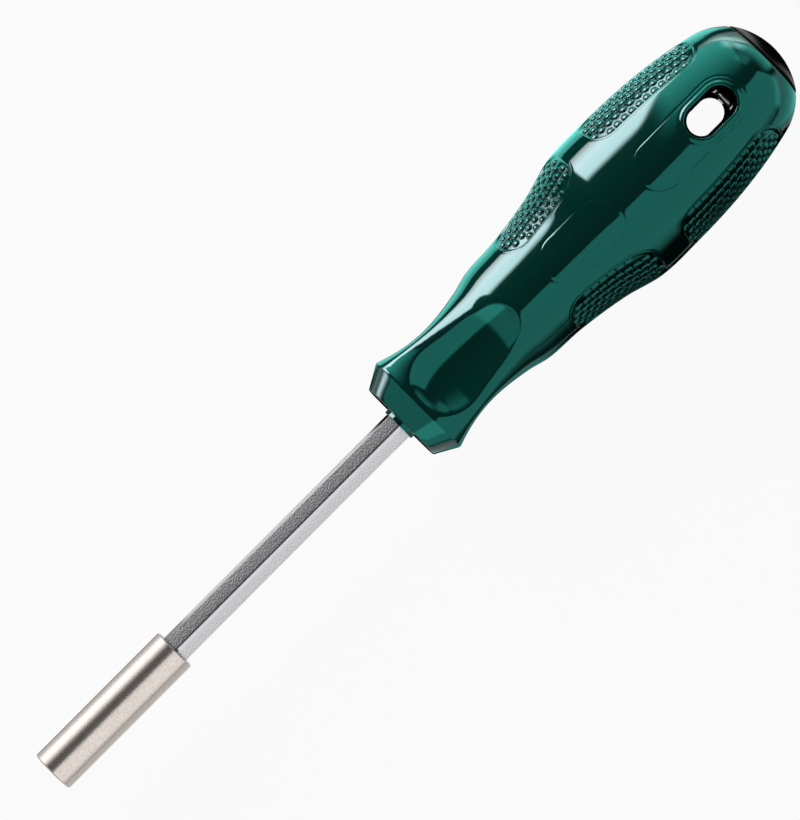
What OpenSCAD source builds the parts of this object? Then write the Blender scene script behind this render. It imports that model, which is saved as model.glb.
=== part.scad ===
// Bit holder screwdriver lying on its side.
// The mouth of the bit socket is at the origin, the handle points to +X,
// and the hanging hole in the handle runs along Z.

/* [Bit socket] */
// Bit shank, across the flats
bit_af = 6.35; // [5:0.05:8]
// Play between the shank and the socket, across the flats
bit_play = 0.15; // [0.05:0.05:0.4]
// Depth of the socket, from the mouth to the magnet
socket_depth = 13; // [9:0.5:20]
// Depth of the lead-in cone at the mouth
lead_in = 0.6; // [0.2:0.1:1.2]

/* [Sleeve] */
// Wall of the sleeve over the corners of the socket
sleeve_wall = 1.35; // [1:0.05:3]
// Length of the sleeve
sleeve_len = 37.8; // [30:0.1:60]
// Chamfer on the outer edges of the sleeve
sleeve_chamfer = 0.3; // [0.1:0.05:0.6]

/* [Retaining ring] */
// Distance of the ring from the mouth
ring_at = 4.5; // [3:0.1:7]
// Thickness of the ring along the axis
ring_w = 0.9; // [0.5:0.1:1.5]
// How far the ring reaches in from the corners of the socket
ring_bite = 0.3; // [0.1:0.05:0.4]
// Depth of the ring's groove below the corners of the socket
groove_depth = 0.4; // [0.2:0.05:0.7]
// Clearance of the ring in its groove
ring_clear = 0.05; // [0.02:0.01:0.15]
// Opening of the split in the ring, in degrees
ring_gap = 40; // [20:5:90]

/* [Magnet] */
// Length of the magnet
magnet_len = 4; // [2:0.5:8]
// Clearance between the magnet and the flats of the socket
magnet_clear = 0.2; // [0.05:0.05:0.5]

/* [Shaft] */
// Shaft, across the flats
shaft_af = 6.35; // [5:0.05:8]
// Length of shaft between the sleeve and the handle
shaft_show = 70; // [30:1:200]
// Turn of the flats about the axis, in degrees
flat_turn = 9; // [0:1:60]
// Chamfer on the ends of the shaft
shaft_chamfer = 0.4; // [0.1:0.1:0.8]
// Length of shaft inside the handle
tang_len = 80; // [66:1:84]
// Distance of the anchor wings from the front of the handle
wing_at = 50; // [42:1:60]
// Length of the anchor wings
wing_len = 10; // [4:1:16]
// How far each wing stands out from the corners of the shaft
wing_out = 1.8; // [0.5:0.1:2.5]
// Thickness of the wings
wing_t = 2.2; // [1:0.1:4]

/* [Handle outline] */
// Diameter of the front face
front_d = 20; // [14:0.5:24]
// Distance from the front face to the ridge
ridge_run = 5.3; // [3:0.1:9]
// Diameter of the ridge
ridge_d = 26; // [23:0.5:32]
// Distance from the ridge to the neck
neck_run = 12.5; // [9:0.5:20]
// Distance from the neck to the swell behind it
swell_run = 10.2; // [6:0.1:16]
// Diameter at the swell
swell_d = 23.5; // [22:0.1:25]
// Distance from the swell to the shoulder
shoulder_run = 5.5; // [4:0.1:9]
// Diameter at the shoulder
shoulder_d = 26; // [25:0.1:26.5]
// Distance from the shoulder to the waist
waist_run = 8.5; // [5:0.1:14]
// Diameter at the waist
waist_d = 27.1; // [26.5:0.1:29]
// Distance from the waist to the flare
flare_run = 12; // [8:0.1:18]
// Diameter at the flare
flare_d = 31; // [29:0.1:33]
// Distance from the flare to the front of the belly
brow_run = 8.4; // [6:0.1:14]
// Diameter at the front of the belly
brow_d = 35.6; // [33:0.1:36]
// Distance from there to the widest place
belly_run = 12.6; // [8:0.1:20]
// Largest diameter of the handle
belly_d = 36.2; // [34:0.1:46]
// Distance from the widest place to the tail
tail_run = 29.5; // [26:0.1:45]
// Diameter at the tail
tail_d = 29.7; // [28:0.1:31]
// Distance from the tail to the turn of the rear end
turn_run = 4; // [2:0.1:6]
// Diameter at that turn
turn_d = 26.7; // [25:0.1:28]
// Distance from the turn to the rear rim
rim_run = 3.3; // [2:0.1:6]
// Width of the flat rim round the cap
rim_land = 0.4; // [0.2:0.1:1]
// Height of the boss round the shaft on the front face
boss_h = 1; // [0.5:0.1:3]
// Wall of that boss over the corners of the shaft
boss_wall = 0.35; // [0.2:0.05:1.5]

/* [Thumb hollows] */
// Depth of the hollows below the neck
scoop_depth = 4.1; // [2.5:0.1:5]
// Gap between the ridge and the front of a hollow
scoop_gap = 0.3; // [0:0.1:1]
// Length of a hollow along the handle
scoop_len = 29; // [24:0.5:32]
// Distance from the front of a hollow to its lowest place
scoop_low = 9.5; // [7:0.5:14]
// Radius of a hollow across the handle
scoop_hollow = 21; // [15:0.5:40]
// Wall of the grip under the hollows
grip_wall = 1.5; // [1:0.1:3]

/* [Panels and pads] */
// Width of the engraved line round a panel
line_w = 0.6; // [0.3:0.05:1.2]
// Depth of that line
line_depth = 0.2; // [0.1:0.05:0.6]
// Distance from the waist to the front panel
panel_at = 2.2; // [0:0.1:6]
// Length of the front panel
panel_len = 21.5; // [14:0.1:24]
// Width of both panels
panel_w = 11.8; // [8:0.1:13]
// Distance from the rear end of the hole panel to the rear rim
hole_panel_back = 8.4; // [7:0.1:12]
// Length of the hole panel
hole_panel_len = 30.9; // [22:0.1:32]
// Depth of the dotted pads
pad_depth = 0.5; // [0.2:0.05:0.8]
// Turn of the pads from the hole's axis, in degrees
pad_turn = 63; // [58:1:63]
// Distance from the front pads to the waist, ahead of it
front_pad_ahead = 0.4; // [0:0.1:3]
// Length of the front pads
front_pad_len = 23.3; // [16:0.1:26]
// Width of the front pads
front_pad_w = 12.4; // [7:0.1:12.4]
// Distance from the rear end of the rear pads to the rear rim
rear_pad_back = 9.1; // [8:0.1:13]
// Length of the rear pads
rear_pad_len = 30.6; // [20:0.1:32]
// Width of the rear pads
rear_pad_w = 13.4; // [8:0.1:13.4]

/* [Hanging hole] */
// Length of the hole along the handle
hole_len = 12.2; // [9:0.1:16]
// Width of the hole
hole_w = 6.3; // [4:0.1:7.4]
// Distance from the rear end of the hole to the rear rim
hole_back = 11.25; // [10:0.05:14.5]
// Step round the hole, from its lining to the wider opening in the grip
rim_step = 0.55; // [0.2:0.05:0.8]
// Wall of the lining round the hole
lining_wall = 1.4; // [0.9:0.1:1.6]
// How far the lining stays below the surface of the grip
lining_setback = 0.7; // [0.6:0.1:3]

/* [Core] */
// Wall of the core over the corners of the shaft, in the neck
core_wall = 1.33; // [0.8:0.05:2.5]
// Distance from the front of the handle to the core
core_front = 6; // [3:0.5:10]
// Distance from the shoulder to the thick part of the core
core_step = 3; // [0:0.5:8]
// Diameter of the thick part of the core
core_d = 17; // [14:0.5:19]

/* [End cap] */
// Diameter of the cap
cap_d = 20.7; // [18.5:0.1:24]
// Depth of the cap's seat in the handle
cap_seat = 2; // [1:0.1:3]
// Height of the straight edge of the cap beyond the rim
cap_lip = 0.5; // [0.2:0.1:1.5]
// Height of the dome above that edge
dome_h = 3.5; // [2:0.1:7]
// Diameter of the peg under the cap
peg_d = 10; // [6:0.5:14]
// Length of the peg
peg_len = 5.5; // [3:0.1:6.5]
// Clearance round the cap and its peg
cap_clear = 0.08; // [0.02:0.01:0.2]

/* [Hidden] */
$fn = 64;

// A cut runs this far past the face that it opens
past = 1;
// Largest step along the outline of the handle
outline_step = 3;

// Radii over the corners of the two hexagons
socket_af = bit_af + bit_play;
socket_corner = socket_af / 2 / cos(30);
shaft_corner = shaft_af / 2 / cos(30);
sleeve_r = max(socket_corner, shaft_corner) + sleeve_wall;
groove_r = socket_corner + groove_depth;
shaft_front = socket_depth + magnet_len;
handle_front = sleeve_len + shaft_show;

// Core and thumb hollow are stacked on the shaft, and the neck goes round them
core_neck_r = shaft_corner + core_wall;
scoop_floor = core_neck_r + grip_wall;
neck_r = scoop_floor + scoop_depth;
rim_r = cap_d / 2 + cap_clear + rim_land;

// Places along the handle, from its front face
ridge_z = ridge_run;
neck_z = ridge_z + neck_run;
swell_z = neck_z + swell_run;
shoulder_z = swell_z + shoulder_run;
waist_z = shoulder_z + waist_run;
flare_z = waist_z + flare_run;
brow_z = flare_z + brow_run;
belly_z = brow_z + belly_run;
tail_z = belly_z + tail_run;
turn_z = tail_z + turn_run;
handle_len = turn_z + rim_run;
hole_end = handle_len - hole_back;
core_end = handle_len - cap_seat;

// Stations of the outline behind the ridge: place, radius
stations = [
    [ridge_z, ridge_d / 2],
    [neck_z, neck_r],
    [swell_z, swell_d / 2],
    [shoulder_z, shoulder_d / 2],
    [waist_z, waist_d / 2],
    [flare_z, flare_d / 2],
    [brow_z, brow_d / 2],
    [belly_z, belly_d / 2],
    [tail_z, tail_d / 2],
    [turn_z, turn_d / 2],
    [handle_len, rim_r]
];
last = len(stations) - 1;

// Slope of the straight line from station i to the next one
function secant(i) = (stations[i + 1][1] - stations[i][1]) / (stations[i + 1][0] - stations[i][0]);

// Slope of the outline at a station inside the list: level at a neck or belly, the mean elsewhere
function inner_slope(i) = secant(i - 1) * secant(i) <= 0 ? 0 : (secant(i - 1) + secant(i)) / 2;

// Slope at any station: the end stretches are parabolas
function slope(i) =
    i == 0 ? 2 * secant(0) - inner_slope(1)
    : i == last ? 2 * secant(last - 1) - inner_slope(last - 1)
    : inner_slope(i);

// Radius at the share t of the stretch from station i to the next one, on a smooth cubic
function stretch_r(i, t) =
    let (run = stations[i + 1][0] - stations[i][0])
    stations[i][1] * (1 - 3 * t * t + 2 * t * t * t)
    + stations[i + 1][1] * (3 * t * t - 2 * t * t * t)
    + run * slope(i) * (t - 2 * t * t + t * t * t)
    + run * slope(i + 1) * (t * t * t - t * t);

// Stretch that holds the place z
function stretch_at(z, i = 0) = i >= last - 1 || z <= stations[i + 1][0] ? i : stretch_at(z, i + 1);

// Radius of the handle at the place z behind the ridge
function handle_r(z) =
    let (i = stretch_at(z))
    stretch_r(i, (z - stations[i][0]) / (stations[i + 1][0] - stations[i][0]));

// Outline of the handle behind the front face, in steps of at most outline_step
outline = [
    for (i = [0:last - 1])
        let (run = stations[i + 1][0] - stations[i][0], steps = ceil(run / outline_step))
        for (k = [0:steps - 1]) [stretch_r(i, k / steps), stations[i][0] + run * k / steps],
    [rim_r, handle_len]
];

// Half height of the hole's lining, below the grip at the narrower end of the hole
lining_w = hole_w + 2 * lining_wall;
lining_reach = sqrt(pow(handle_r(hole_end), 2) - pow(lining_w / 2, 2)) - lining_setback;

// Lays a piece that is built along Z on its side, so that it runs along X
module lay_down() {
    rotate([0, 90, 0]) children();
}

// Moves a piece that is built from the front face of the handle to its place on the shaft
module on_shaft() {
    translate([0, 0, handle_front]) children();
}

// Hexagonal bar along Z, between two places
module hex_bar(af, from, to) {
    translate([0, 0, from]) rotate(flat_turn) cylinder(d = af / cos(30), h = to - from, $fn = 6);
}

// Slot outline with round ends
module obround(length, width) {
    square([length - width, width], center = true);
    for (side = [-1, 1]) translate([side * (length - width) / 2, 0]) circle(d = width);
}

// Block with round ends right through the handle, between two places along it
module cross_block(from, to, width, reach) {
    translate([0, 0, (from + to) / 2])
        rotate([0, 90, 0])
            linear_extrude(2 * reach, center = true) obround(to - from, width);
}

// Turned shape of the handle, sunk by a depth
module handle_blank(sunk = 0) {
    rotate_extrude()
        polygon(concat(
            [[0, 0], [front_d / 2 - sunk, 0]],
            [for (p = outline) [p[0] - sunk, p[1]]],
            [[0, handle_len]]
        ));
}

// Keeps the skin of its children, down to a depth below the outline of the handle
module skin(depth) {
    intersection() {
        children();
        difference() {
            translate([0, 0, ridge_z]) cylinder(d = 2 * belly_d, h = tail_z - ridge_z + turn_run);
            handle_blank(depth);
        }
    }
}

// Barrel across the handle whose lowest line lies on the floor of the thumb hollow
module barrel(rise, run) {
    wheel_r = (run * run + rise * rise) / (2 * rise);
    translate([-scoop_floor - wheel_r, 0, ridge_z + scoop_gap + scoop_low])
        rotate([90, 0, 0])
            rotate_extrude()
                intersection() {
                    translate([wheel_r - scoop_hollow, 0]) circle(scoop_hollow);
                    translate([0, -scoop_hollow]) square([wheel_r + past, 2 * scoop_hollow]);
                }
}

// Thumb hollow on one side: a short barrel up to the ridge and a long one to the rear end
module thumb_scoop() {
    rear_run = scoop_len - scoop_low;
    low_z = ridge_z + scoop_gap + scoop_low;
    scoop_end = low_z + rear_run;
    intersection() {
        barrel(ridge_d / 2 - scoop_floor, scoop_low);
        translate([-2 * belly_d, -belly_d, low_z - 2 * scoop_low]) cube([2 * belly_d, 2 * belly_d, 2 * scoop_low]);
    }
    intersection() {
        barrel(handle_r(scoop_end) - scoop_floor, rear_run);
        translate([-2 * belly_d, -belly_d, low_z]) cube([2 * belly_d, 2 * belly_d, 2 * rear_run]);
    }
}

// Wall with round ends right through the handle, as thick as the line round a panel
module line_block(from, to) {
    difference() {
        cross_block(from, to, panel_w, belly_d);
        cross_block(from + line_w, to - line_w, panel_w - 2 * line_w, belly_d + past);
    }
}

// Lines round both panels, on both sides of the handle
module panel_lines() {
    panel_front = waist_z + panel_at;
    hole_panel_end = handle_len - hole_panel_back;
    line_block(panel_front, panel_front + panel_len);
    line_block(hole_panel_end - hole_panel_len, hole_panel_end);
}

// All the dotted pads' beds, four round the waist and four round the belly
module pads() {
    front_pad = waist_z - front_pad_ahead;
    rear_pad_end = handle_len - rear_pad_back;
    for (side = [-1, 1]) rotate(side * pad_turn) {
        cross_block(front_pad, front_pad + front_pad_len, front_pad_w, belly_d);
        cross_block(rear_pad_end - rear_pad_len, rear_pad_end, rear_pad_w, belly_d);
    }
}

// Hanging hole through the handle, widened all round by a step
module hanging_hole(step = 0) {
    cross_block(hole_end - hole_len - step, hole_end + step, hole_w + 2 * step, belly_d);
}

// Outer shape of the core: a stepped bar with the lining of the hanging hole across it
module core_blank() {
    step_z = shoulder_z + core_step;
    rise = core_d / 2 - core_neck_r;
    rotate_extrude()
        polygon([
            [0, core_front],
            [core_neck_r, core_front],
            [core_neck_r, step_z],
            [core_d / 2, step_z + rise],
            [core_d / 2, core_end],
            [0, core_end]
        ]);
    cross_block(hole_end - hole_len - lining_wall, hole_end + lining_wall, lining_w, lining_reach);
}

// Solid of the shaft, from its end in the sleeve to its end in the handle
module shaft_solid() {
    wing_span = 2 * (shaft_corner + wing_out);
    shaft_back = handle_front + tang_len;
    intersection() {
        hex_bar(shaft_af, shaft_front, shaft_back);
        rotate_extrude()
            polygon([
                [0, shaft_front],
                [shaft_corner - shaft_chamfer, shaft_front],
                [shaft_corner + past, shaft_front + shaft_chamfer + past],
                [shaft_corner + past, shaft_back - shaft_chamfer - past],
                [shaft_corner - shaft_chamfer, shaft_back],
                [0, shaft_back]
            ]);
    }
    translate([-wing_t / 2, -wing_span / 2, handle_front + wing_at]) cube([wing_t, wing_span, wing_len]);
}

// Stainless tube with a hexagonal bore, a ring groove and a lead-in cone
module bit_sleeve() {
    color("silver") lay_down() difference() {
        rotate_extrude()
            polygon([
                [0, 0],
                [sleeve_r - sleeve_chamfer, 0],
                [sleeve_r, sleeve_chamfer],
                [sleeve_r, sleeve_len - sleeve_chamfer],
                [sleeve_r - sleeve_chamfer, sleeve_len],
                [0, sleeve_len]
            ]);
        hex_bar(min(socket_af, shaft_af), -past, sleeve_len + past);
        hex_bar(socket_af, -past, shaft_front);
        hex_bar(shaft_af, shaft_front, sleeve_len + past);
        translate([0, 0, -past])
            cylinder(r1 = socket_corner + past, r2 = socket_corner - lead_in, h = lead_in + past);
        translate([0, 0, ring_at - ring_clear]) cylinder(r = groove_r, h = ring_w + 2 * ring_clear);
    }
}

// Split spring ring that grips the corners of a bit
module retaining_ring() {
    inner_r = socket_corner - ring_bite;
    color("dimgray") lay_down() translate([0, 0, ring_at])
        rotate(ring_gap / 2)
            rotate_extrude(angle = 360 - ring_gap)
                translate([inner_r, 0]) square([groove_r - ring_clear - inner_r, ring_w]);
}

// Round magnet between the bit and the shaft
module socket_magnet() {
    color("gray") lay_down() translate([0, 0, socket_depth])
        cylinder(r = socket_af / 2 - magnet_clear, h = magnet_len);
}

// Hexagonal bar with anchor wings
module hex_shaft() {
    color("lightgray") lay_down() shaft_solid();
}

// Black core on the shaft, with the hanging hole and the seat of the cap's peg
module handle_core() {
    color([0.05, 0.05, 0.06]) lay_down() difference() {
        on_shaft() difference() {
            core_blank();
            hanging_hole();
            translate([0, 0, core_end - peg_len - cap_clear])
                cylinder(d = peg_d + 2 * cap_clear, h = peg_len + cap_clear + past);
        }
        shaft_solid();
    }
}

// Green outer moulding
module handle_grip() {
    color([0.05, 0.35, 0.32]) lay_down() difference() {
        on_shaft() difference() {
            union() {
                handle_blank();
                translate([0, 0, -boss_h]) cylinder(r = shaft_corner + boss_wall, h = boss_h + past);
            }
            skin(line_depth) panel_lines();
            skin(pad_depth) pads();
            thumb_scoop();
            rotate(180) thumb_scoop();
            core_blank();
            hanging_hole(rim_step);
            translate([0, 0, core_end]) cylinder(d = cap_d + 2 * cap_clear, h = cap_seat + past);
        }
        hex_bar(shaft_af, handle_front - boss_h - past, handle_front + core_front + past);
    }
}

// Domed black cap with its peg
module end_cap() {
    dome_r = (cap_d * cap_d / 4 + dome_h * dome_h) / (2 * dome_h);
    edge_z = handle_len + cap_lip;
    color([0.1, 0.1, 0.11]) lay_down() on_shaft() {
        intersection() {
            translate([0, 0, core_end]) cylinder(d = cap_d, h = edge_z + dome_h - core_end);
            translate([0, 0, edge_z + dome_h - dome_r]) sphere(dome_r);
        }
        translate([0, 0, core_end - peg_len]) cylinder(d = peg_d, h = peg_len + cap_seat);
    }
}

bit_sleeve();
retaining_ring();
socket_magnet();
hex_shaft();
handle_core();
handle_grip();
end_cap();
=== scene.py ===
"""Looks of a bit holder screwdriver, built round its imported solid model.

Sizes are in millimetres in the frame of the solid model: the mouth of the bit socket is at the origin, the
tool runs along +X and the hanging hole along Z. A mesh is scaled to metres when it is published. On the
handle, a run is the distance behind its front face, and an angle is the turn about the axis away from the
hole. The sizes of the studio are in metres.
"""

import logging
import math
from collections.abc import Callable, Iterator, Sequence
from dataclasses import dataclass
from enum import Enum
from functools import partial

import bmesh
import bpy
from mathutils import Matrix, Vector

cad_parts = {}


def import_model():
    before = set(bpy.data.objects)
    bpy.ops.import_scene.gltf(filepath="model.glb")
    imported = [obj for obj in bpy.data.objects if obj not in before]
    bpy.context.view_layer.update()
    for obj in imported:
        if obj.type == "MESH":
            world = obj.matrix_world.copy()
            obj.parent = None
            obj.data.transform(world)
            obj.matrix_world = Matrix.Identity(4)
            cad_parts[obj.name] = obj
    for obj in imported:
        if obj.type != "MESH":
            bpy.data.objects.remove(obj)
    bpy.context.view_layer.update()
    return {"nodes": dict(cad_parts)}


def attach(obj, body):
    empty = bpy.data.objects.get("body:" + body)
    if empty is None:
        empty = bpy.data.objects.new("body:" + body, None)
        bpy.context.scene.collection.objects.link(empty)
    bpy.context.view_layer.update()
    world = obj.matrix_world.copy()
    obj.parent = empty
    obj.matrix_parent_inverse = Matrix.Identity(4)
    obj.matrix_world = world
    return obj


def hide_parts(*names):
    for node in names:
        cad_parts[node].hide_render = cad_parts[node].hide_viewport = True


MM = 0.001
HANDLE_FRONT = 107.8
WELD = 1e-4
TILT_STEP = 0.05
log = logging.getLogger("bit_holder")

# Place along X and radius of a ring about the axis, at an angle
Ring = Callable[[float], tuple[float, float]]


class Side(Enum):
    """The two sides of the handle that the hanging hole opens on."""

    TOP = 1
    BOTTOM = -1


def linear(code: str) -> tuple[float, float, float, float]:
    """Turn an sRGB colour into linear light.

    Args:
        code: A hash sign and six hexadecimal digits.

    Returns:
        Red, green, blue and an alpha of one.
    """
    parts = [int(code[i : i + 2], 16) / 255 for i in (1, 3, 5)]
    red, green, blue = (p / 12.92 if p <= 0.04045 else ((p + 0.055) / 1.055) ** 2.4 for p in parts)
    return red, green, blue, 1.0


def add_node(
    tree: bpy.types.NodeTree,
    kind: str,
    values: dict[str, object] | None = None,
    links: dict[str, bpy.types.NodeSocket] | None = None,
    **settings: object,
) -> bpy.types.Node:
    """Add a shader node.

    Args:
        tree: Node tree that gets the node.
        kind: Blender's name for the kind of node.
        values: Fixed values of input sockets, by name.
        links: Output sockets that feed input sockets, by the input's name.
        settings: Properties of the node itself.

    Returns:
        The new node.
    """
    node = tree.nodes.new(kind)
    for name, value in settings.items():
        setattr(node, name, value)
    for name, value in (values or {}).items():
        node.inputs[name].default_value = value
    for name, socket in (links or {}).items():
        tree.links.new(socket, node.inputs[name])
    return node


def smooth_step(low: float, high: float, value: float) -> float:
    """Rise smoothly from 0 at low to 1 at high."""
    t = min(1.0, max(0.0, (value - low) / (high - low)))
    return t * t * (3 - 2 * t)


def hump(centre: float, half: float, value: float) -> float:
    """Round hump of height 1 at the centre that ends at half on either side."""
    t = (value - centre) / half
    return math.cos(t * math.pi / 2) ** 2 if abs(t) < 1 else 0.0


def soft_min(a: float, b: float, blend: float) -> float:
    """Smaller of two heights, with the corner between them rounded over a height of blend."""
    near = max(0.0, 1 - abs(a - b) / blend)
    return min(a, b) - blend / 4 * near * near


def rounded(
    before: Sequence[float], corner: Sequence[float], after: Sequence[float], reach: float
) -> list[Vector]:
    """Round a corner of a profile.

    Args:
        before: Point before the corner.
        corner: The corner itself.
        after: Point after the corner.
        reach: How far the rounding goes along both sides.

    Returns:
        Five points along the rounding.
    """
    tip = Vector(corner)
    start = tip + (Vector(before) - tip).normalized() * reach
    end = tip + (Vector(after) - tip).normalized() * reach
    shares = (0.0, 0.25, 0.5, 0.75, 1.0)
    return [start * (1 - t) ** 2 + tip * 2 * t * (1 - t) + end * t * t for t in shares]


def turn(mesh: bmesh.types.BMesh, profile: Sequence[Sequence[float]], steps: int) -> None:
    """Turn a profile into a round shape about the tool's axis.

    Args:
        mesh: Mesh that gets the shape.
        profile: Places along X and radii.
        steps: Number of steps round the axis.
    """
    points = [mesh.verts.new((x, 0.0, r)) for x, r in profile]
    edges = [mesh.edges.new(pair) for pair in zip(points, points[1:])]
    bmesh.ops.spin(
        mesh, geom=points + edges, cent=(0, 0, 0), axis=(1, 0, 0), angle=math.tau, steps=steps, use_merge=True
    )
    bmesh.ops.remove_doubles(mesh, verts=mesh.verts, dist=WELD)


def next_ring(
    mesh: bmesh.types.BMesh, edges: Sequence[bmesh.types.BMEdge], place: Callable[[Vector], Vector]
) -> list[bmesh.types.BMEdge]:
    """Extrude a ring of edges.

    Args:
        mesh: Mesh that holds the ring.
        edges: Edges of the ring.
        place: Gives the new place of each point of the ring.

    Returns:
        Edges of the new ring.
    """
    made = bmesh.ops.extrude_edge_only(mesh, edges=edges)["geom"]
    for vert in (g for g in made if isinstance(g, bmesh.types.BMVert)):
        vert.co = place(vert.co)
    return [g for g in made if isinstance(g, bmesh.types.BMEdge)]


def new_object(name: str, mesh: bmesh.types.BMesh, material: bpy.types.Material) -> bpy.types.Object:
    """Turn a finished mesh into an object of the scene.

    Args:
        name: Name of the object and of its mesh.
        mesh: The mesh, which is freed.
        material: Material of all its faces.

    Returns:
        The object.
    """
    data = bpy.data.meshes.new(name)
    mesh.to_mesh(data)
    mesh.free()
    data.materials.append(material)
    made = bpy.data.objects.new(name, data)
    bpy.context.scene.collection.objects.link(made)
    return made


@dataclass(frozen=True)
class Finish:
    """Plain surface of one real material."""

    name: str
    colour: str
    roughness: float
    metallic: float = 0.0

    def start(self) -> tuple[bpy.types.Material, bpy.types.NodeTree, bpy.types.Node]:
        """Make the material with its plain values.

        Returns:
            The material, its node tree and its shader.
        """
        material = bpy.data.materials.new(self.name)
        material.use_nodes = True
        shader = material.node_tree.nodes["Principled BSDF"]
        shader.inputs["Base Color"].default_value = linear(self.colour)
        shader.inputs["Roughness"].default_value = self.roughness
        shader.inputs["Metallic"].default_value = self.metallic
        return material, material.node_tree, shader


@dataclass(frozen=True)
class PolishedPlastic(Finish):
    """Plastic from a polished mould: a deep gloss over faint, broad waves where it has shrunk."""

    tint: str = "#ffffff"
    gloss: float = 0.5
    ior: float = 1.55
    wave_mm: float = 9.0
    wave_depth_mm: float = 0.003
    haze: float = 0.03
    smear_mm: float = 14.0

    def make(self) -> bpy.types.Material:
        """Make the material, with shrink waves in its normals and handling haze in its gloss.

        Returns:
            The material.
        """
        material, tree, shader = self.start()
        shader.inputs["Specular Tint"].default_value = linear(self.tint)
        shader.inputs["Specular IOR Level"].default_value = self.gloss
        shader.inputs["IOR"].default_value = self.ior
        place = add_node(tree, "ShaderNodeTexCoord").outputs["Object"]
        wave = add_node(
            tree, "ShaderNodeTexNoise", {"Scale": 1 / (self.wave_mm * MM), "Detail": 1.0}, {"Vector": place}
        )
        bump = add_node(
            tree,
            "ShaderNodeBump",
            {"Strength": 1.0, "Distance": self.wave_depth_mm * MM},
            {"Height": wave.outputs["Fac"]},
        )
        tree.links.new(bump.outputs["Normal"], shader.inputs["Normal"])
        smear = add_node(
            tree,
            "ShaderNodeTexNoise",
            {"Scale": 1 / (self.smear_mm * MM), "Detail": 4.0, "Roughness": 0.6},
            {"Vector": place},
        )
        hazy = self.roughness + self.haze
        gloss = add_node(
            tree,
            "ShaderNodeMapRange",
            {"From Min": 0.35, "From Max": 0.75, "To Min": self.roughness, "To Max": hazy},
            {"Value": smear.outputs["Fac"]},
        )
        tree.links.new(gloss.outputs["Result"], shader.inputs["Roughness"])
        return material


@dataclass(frozen=True)
class TurnedSteel(Finish):
    """Steel turned on a lathe: fine rings round the piece blur what it mirrors along the axis."""

    stain: str = "#8f857c"
    ring_mm: float = 0.3
    ring_depth_mm: float = 0.003
    patch_mm: float = 0.8

    def make(self) -> bpy.types.Material:
        """Make the material, with lathe rings in its normals and a warm, patchy tone.

        Returns:
            The material.
        """
        material, tree, shader = self.start()
        place = add_node(tree, "ShaderNodeTexCoord").outputs["Object"]
        along = add_node(tree, "ShaderNodeSeparateXYZ", links={"Vector": place}).outputs["X"]
        # Real tool marks are about 0.1 mm apart, too fine to show, so they are drawn three times as wide
        rings = add_node(
            tree,
            "ShaderNodeTexNoise",
            {"Scale": 1 / (self.ring_mm * MM), "Detail": 3.0, "Roughness": 0.7},
            {"W": along},
            noise_dimensions="1D",
        )
        bump = add_node(
            tree,
            "ShaderNodeBump",
            {"Strength": 1.0, "Distance": self.ring_depth_mm * MM},
            {"Height": rings.outputs["Fac"]},
        )
        tree.links.new(bump.outputs["Normal"], shader.inputs["Normal"])
        patches = add_node(
            tree,
            "ShaderNodeTexNoise",
            {"Scale": 1 / (self.patch_mm * MM), "Detail": 4.0, "Roughness": 0.65},
            {"Vector": place},
        )
        tone = add_node(tree, "ShaderNodeValToRGB", links={"Fac": patches.outputs["Fac"]})
        clean, stained = tone.color_ramp.elements
        clean.position = 0.42
        clean.color = linear(self.colour)
        stained.position = 0.8
        stained.color = linear(self.stain)
        tree.links.new(tone.outputs["Color"], shader.inputs["Base Color"])
        return material


@dataclass(frozen=True)
class GrainedPlating(Finish):
    """Plating over blasted steel: a fine grain that sparkles where a light is near the mirror angle.

    Faces whose burnished attribute is 1, such as edges rubbed in handling, mirror without the grain.
    """

    dull: str = "#77777b"
    grain_mm: float = 0.3
    grain_depth_mm: float = 0.02
    edge_roughness: float = 0.08

    def make(self) -> bpy.types.Material:
        """Make the material, with the grain in its normals and tone.

        Returns:
            The material.
        """
        material, tree, shader = self.start()
        place = add_node(tree, "ShaderNodeTexCoord").outputs["Object"]
        grain = add_node(
            tree,
            "ShaderNodeTexNoise",
            {"Scale": 1 / (self.grain_mm * MM), "Detail": 2.0, "Roughness": 0.6},
            {"Vector": place},
        )
        rubbed = add_node(tree, "ShaderNodeAttribute", attribute_name="burnished").outputs["Fac"]
        depth = add_node(tree, "ShaderNodeMapRange", {"To Min": 1.0, "To Max": 0.0}, {"Value": rubbed})
        bump = add_node(
            tree,
            "ShaderNodeBump",
            {"Distance": self.grain_depth_mm * MM},
            {"Height": grain.outputs["Fac"], "Strength": depth.outputs["Result"]},
        )
        gloss = add_node(
            tree,
            "ShaderNodeMapRange",
            {"To Min": self.roughness, "To Max": self.edge_roughness},
            {"Value": rubbed},
        )
        tree.links.new(gloss.outputs["Result"], shader.inputs["Roughness"])
        tree.links.new(bump.outputs["Normal"], shader.inputs["Normal"])
        tone = add_node(tree, "ShaderNodeValToRGB", links={"Fac": grain.outputs["Fac"]})
        pit, crest = tone.color_ramp.elements
        pit.position = 0.35
        pit.color = linear(self.dull)
        crest.position = 0.65
        crest.color = linear(self.colour)
        tree.links.new(tone.outputs["Color"], shader.inputs["Base Color"])
        return material


# Glossy dark green moulding. The pigment sits right under the skin, so weak reflections look green as well
GRIP_PLASTIC = PolishedPlastic("green_moulded_acetate", "#05443c", 0.06, tint="#b6fff8", gloss=0.6)
# Black polypropylene of the core, which shows as the shiny lining of the hanging hole
CORE_PLASTIC = PolishedPlastic("black_moulded_polypropylene", "#070708", 0.05, gloss=0.3, ior=1.49, haze=0.01)
# Black ABS of the cap, a little greyer and softer in its shine
CAP_PLASTIC = PolishedPlastic("black_moulded_abs", "#18171a", 0.22, gloss=0.35, ior=1.5)
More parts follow.
